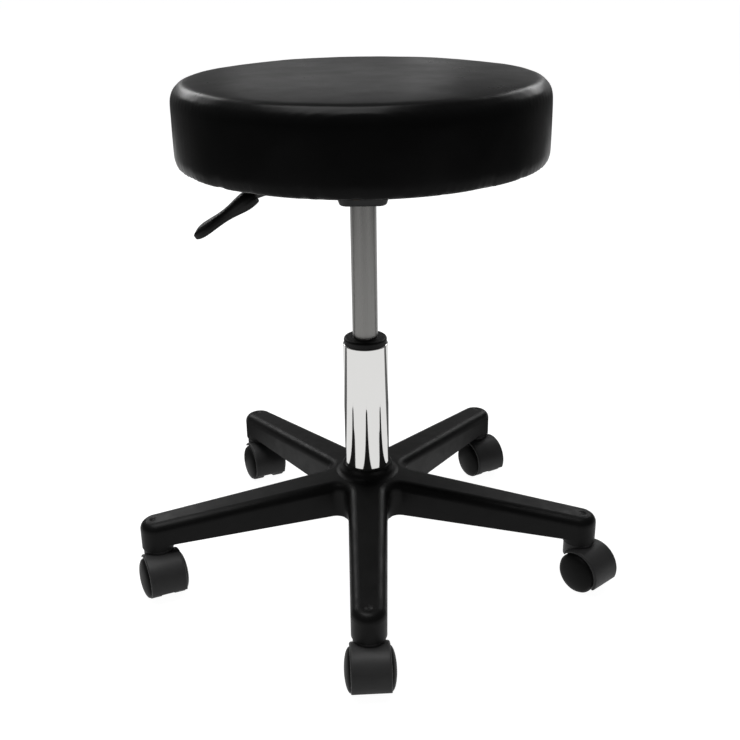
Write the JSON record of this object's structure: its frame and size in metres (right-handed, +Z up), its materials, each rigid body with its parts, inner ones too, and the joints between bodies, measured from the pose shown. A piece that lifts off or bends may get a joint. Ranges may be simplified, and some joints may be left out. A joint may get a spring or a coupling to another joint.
{
  "type": "pedicure stool",
  "caption": "Low round swivel stool: padded vinyl seat, gas lift worked by a side lever, chromed column, moulded star base on hooded swivel casters.",
  "frame": {"origin": "on the floor, under the swivel axis of the seat", "axes": "+Z up along the swivel axis; -X towards the lever; -Y along one leg of the base, the one nearest the viewer"},
  "size_m": [0.532, 0.5045, 0.548],
  "materials": {
    "seat_vinyl": "smooth black vinyl, satin",
    "seat_foam": "cut foam",
    "plywood": "plain plywood",
    "zinc_steel": "zinc plated",
    "dust_cloth": "black non-woven cloth",
    "plate_paint": "black powder coat",
    "socket_steel": "black powder coat",
    "lever_steel": "plain steel rod",
    "handle_plastic": "moulded, fine texture",
    "cylinder_steel": "ground steel, satin",
    "valve_aluminium": "machined",
    "pin_steel": "turned",
    "guide_plastic": "moulded",
    "rod_steel": "hard chromed",
    "buffer_rubber": "moulded",
    "bearing_steel": "hardened, greased",
    "column_chrome": "mirror polished chrome plate",
    "bush_plastic": "moulded",
    "base_plastic": "moulded, fine satin texture",
    "ring_steel": "black coated",
    "hood_plastic": "moulded, satin",
    "wheel_plastic": "moulded, satin"
  },
  "bodies": {
    "base": {"base_star": "base_plastic", "hub_ring": "ring_steel", "outer_column": "column_chrome", "column_bush": "bush_plastic", "bearing_lower_race": "bearing_steel", "caster_stems": "zinc_steel", "grip_rings": "zinc_steel"},
    "spindle": {"piston_rod": "rod_steel", "piston": "guide_plastic", "rod_clip": "zinc_steel", "rubber_buffer": "buffer_rubber", "bearing_upper_race": "bearing_steel", "thrust_bearing": "bearing_steel"},
    "seat": {"seat_cover": "seat_vinyl", "seat_foam": "seat_foam", "seat_board": "plywood", "seat_tee_nuts": "zinc_steel", "seat_bolts": "zinc_steel", "seat_washers": "zinc_steel", "dust_cover": "dust_cloth", "cover_staples": "zinc_steel", "mount_plate": "plate_paint", "taper_socket": "socket_steel", "lever_pivot_pin": "zinc_steel", "gas_cylinder": "cylinder_steel", "valve_body": "valve_aluminium", "rod_guide": "guide_plastic"},
    "lever": {"lever_rod": "lever_steel", "lever_handle": "handle_plastic"},
    "valve_pin": {"release_pin": "pin_steel"},
    "caster_1": {"hood_1": "hood_plastic", "axle_1": "zinc_steel"},
    "wheel_1_a": {"wheel_1_a": "wheel_plastic"},
    "wheel_1_b": {"wheel_1_b": "wheel_plastic"},
    "caster_2": {"hood_2": "hood_plastic", "axle_2": "zinc_steel"},
    "wheel_2_a": {"wheel_2_a": "wheel_plastic"},
    "wheel_2_b": {"wheel_2_b": "wheel_plastic"},
    "caster_3": {"hood_3": "hood_plastic", "axle_3": "zinc_steel"},
    "wheel_3_a": {"wheel_3_a": "wheel_plastic"},
    "wheel_3_b": {"wheel_3_b": "wheel_plastic"},
    "caster_4": {"hood_4": "hood_plastic", "axle_4": "zinc_steel"},
    "wheel_4_a": {"wheel_4_a": "wheel_plastic"},
    "wheel_4_b": {"wheel_4_b": "wheel_plastic"},
    "caster_5": {"hood_5": "hood_plastic", "axle_5": "zinc_steel"},
    "wheel_5_a": {"wheel_5_a": "wheel_plastic"},
    "wheel_5_b": {"wheel_5_b": "wheel_plastic"}
  },
  "joints": [
    {"name": "seat_swivel", "type": "hinge", "parent": "base", "child": "spindle", "pos_m": [0, 0, 0.05], "axis": [0, 0, 1], "continuous": true},
    {"name": "seat_lift", "type": "slide", "parent": "spindle", "child": "seat", "axis": [0, 0, 1], "range_m": [-0.12, 0]},
    {"name": "lever_lift", "type": "hinge", "parent": "seat", "child": "lever", "pos_m": [-0.024, 0, 0.4535], "axis": [0, 1, 0], "range_deg": [0, 6], "stiffness_Nm_per_rad": 2, "springref_deg": -5.73},
    {"name": "valve_press", "type": "slide", "parent": "seat", "child": "valve_pin", "axis": [0, 0, -1], "range_m": [0, 0.0026]},
    {"name": "caster_1_swivel", "type": "hinge", "parent": "base", "child": "caster_1", "pos_m": [0, -0.246, 0.05], "axis": [0, 0, 1], "continuous": true},
    {"name": "wheel_1_a_spin", "type": "hinge", "parent": "caster_1", "child": "wheel_1_a", "pos_m": [0.00073, -0.25998, 0.023], "axis": [0.9986, 0.0523, 0], "continuous": true},
    {"name": "wheel_1_b_spin", "type": "hinge", "parent": "caster_1", "child": "wheel_1_b", "pos_m": [0.00073, -0.25998, 0.023], "axis": [0.9986, 0.0523, 0], "continuous": true},
    {"name": "caster_2_swivel", "type": "hinge", "parent": "base", "child": "caster_2", "pos_m": [0.23396, -0.07602, 0.05], "axis": [0, 0, 1], "continuous": true},
    {"name": "wheel_2_a_spin", "type": "hinge", "parent": "caster_2", "child": "wheel_2_a", "pos_m": [0.24333, -0.08642, 0.023], "axis": [0.7431, 0.6691, 0], "continuous": true},
    {"name": "wheel_2_b_spin", "type": "hinge", "parent": "caster_2", "child": "wheel_2_b", "pos_m": [0.24333, -0.08642, 0.023], "axis": [0.7431, 0.6691, 0], "continuous": true},
    {"name": "caster_3_swivel", "type": "hinge", "parent": "base", "child": "caster_3", "pos_m": [0.1446, 0.19902, 0.05], "axis": [0, 0, 1], "continuous": true},
    {"name": "wheel_3_a_spin", "type": "hinge", "parent": "caster_3", "child": "wheel_3_a", "pos_m": [0.1516, 0.18689, 0.023], "axis": [0.866, 0.5, 0], "continuous": true},
    {"name": "wheel_3_b_spin", "type": "hinge", "parent": "caster_3", "child": "wheel_3_b", "pos_m": [0.1516, 0.18689, 0.023], "axis": [0.866, 0.5, 0], "continuous": true},
    {"name": "caster_4_swivel", "type": "hinge", "parent": "base", "child": "caster_4", "pos_m": [-0.1446, 0.19902, 0.05], "axis": [0, 0, 1], "continuous": true},
    {"name": "wheel_4_a_spin", "type": "hinge", "parent": "caster_4", "child": "wheel_4_a", "pos_m": [-0.1389, 0.18623, 0.023], "axis": [0.9135, 0.4067, 0], "continuous": true},
    {"name": "wheel_4_b_spin", "type": "hinge", "parent": "caster_4", "child": "wheel_4_b", "pos_m": [-0.1389, 0.18623, 0.023], "axis": [0.9135, 0.4067, 0], "continuous": true},
    {"name": "caster_5_swivel", "type": "hinge", "parent": "base", "child": "caster_5", "pos_m": [-0.23396, -0.07602, 0.05], "axis": [0, 0, 1], "continuous": true},
    {"name": "wheel_5_a_spin", "type": "hinge", "parent": "caster_5", "child": "wheel_5_a", "pos_m": [-0.22827, -0.08881, 0.023], "axis": [0.9135, 0.4067, 0], "continuous": true},
    {"name": "wheel_5_b_spin", "type": "hinge", "parent": "caster_5", "child": "wheel_5_b", "pos_m": [-0.22827, -0.08881, 0.023], "axis": [0.9135, 0.4067, 0], "continuous": true}
  ],
  "couplings": [
    {"joint": "valve_press", "follows": "lever_lift", "m_per_rad": 0.024}
  ]
}
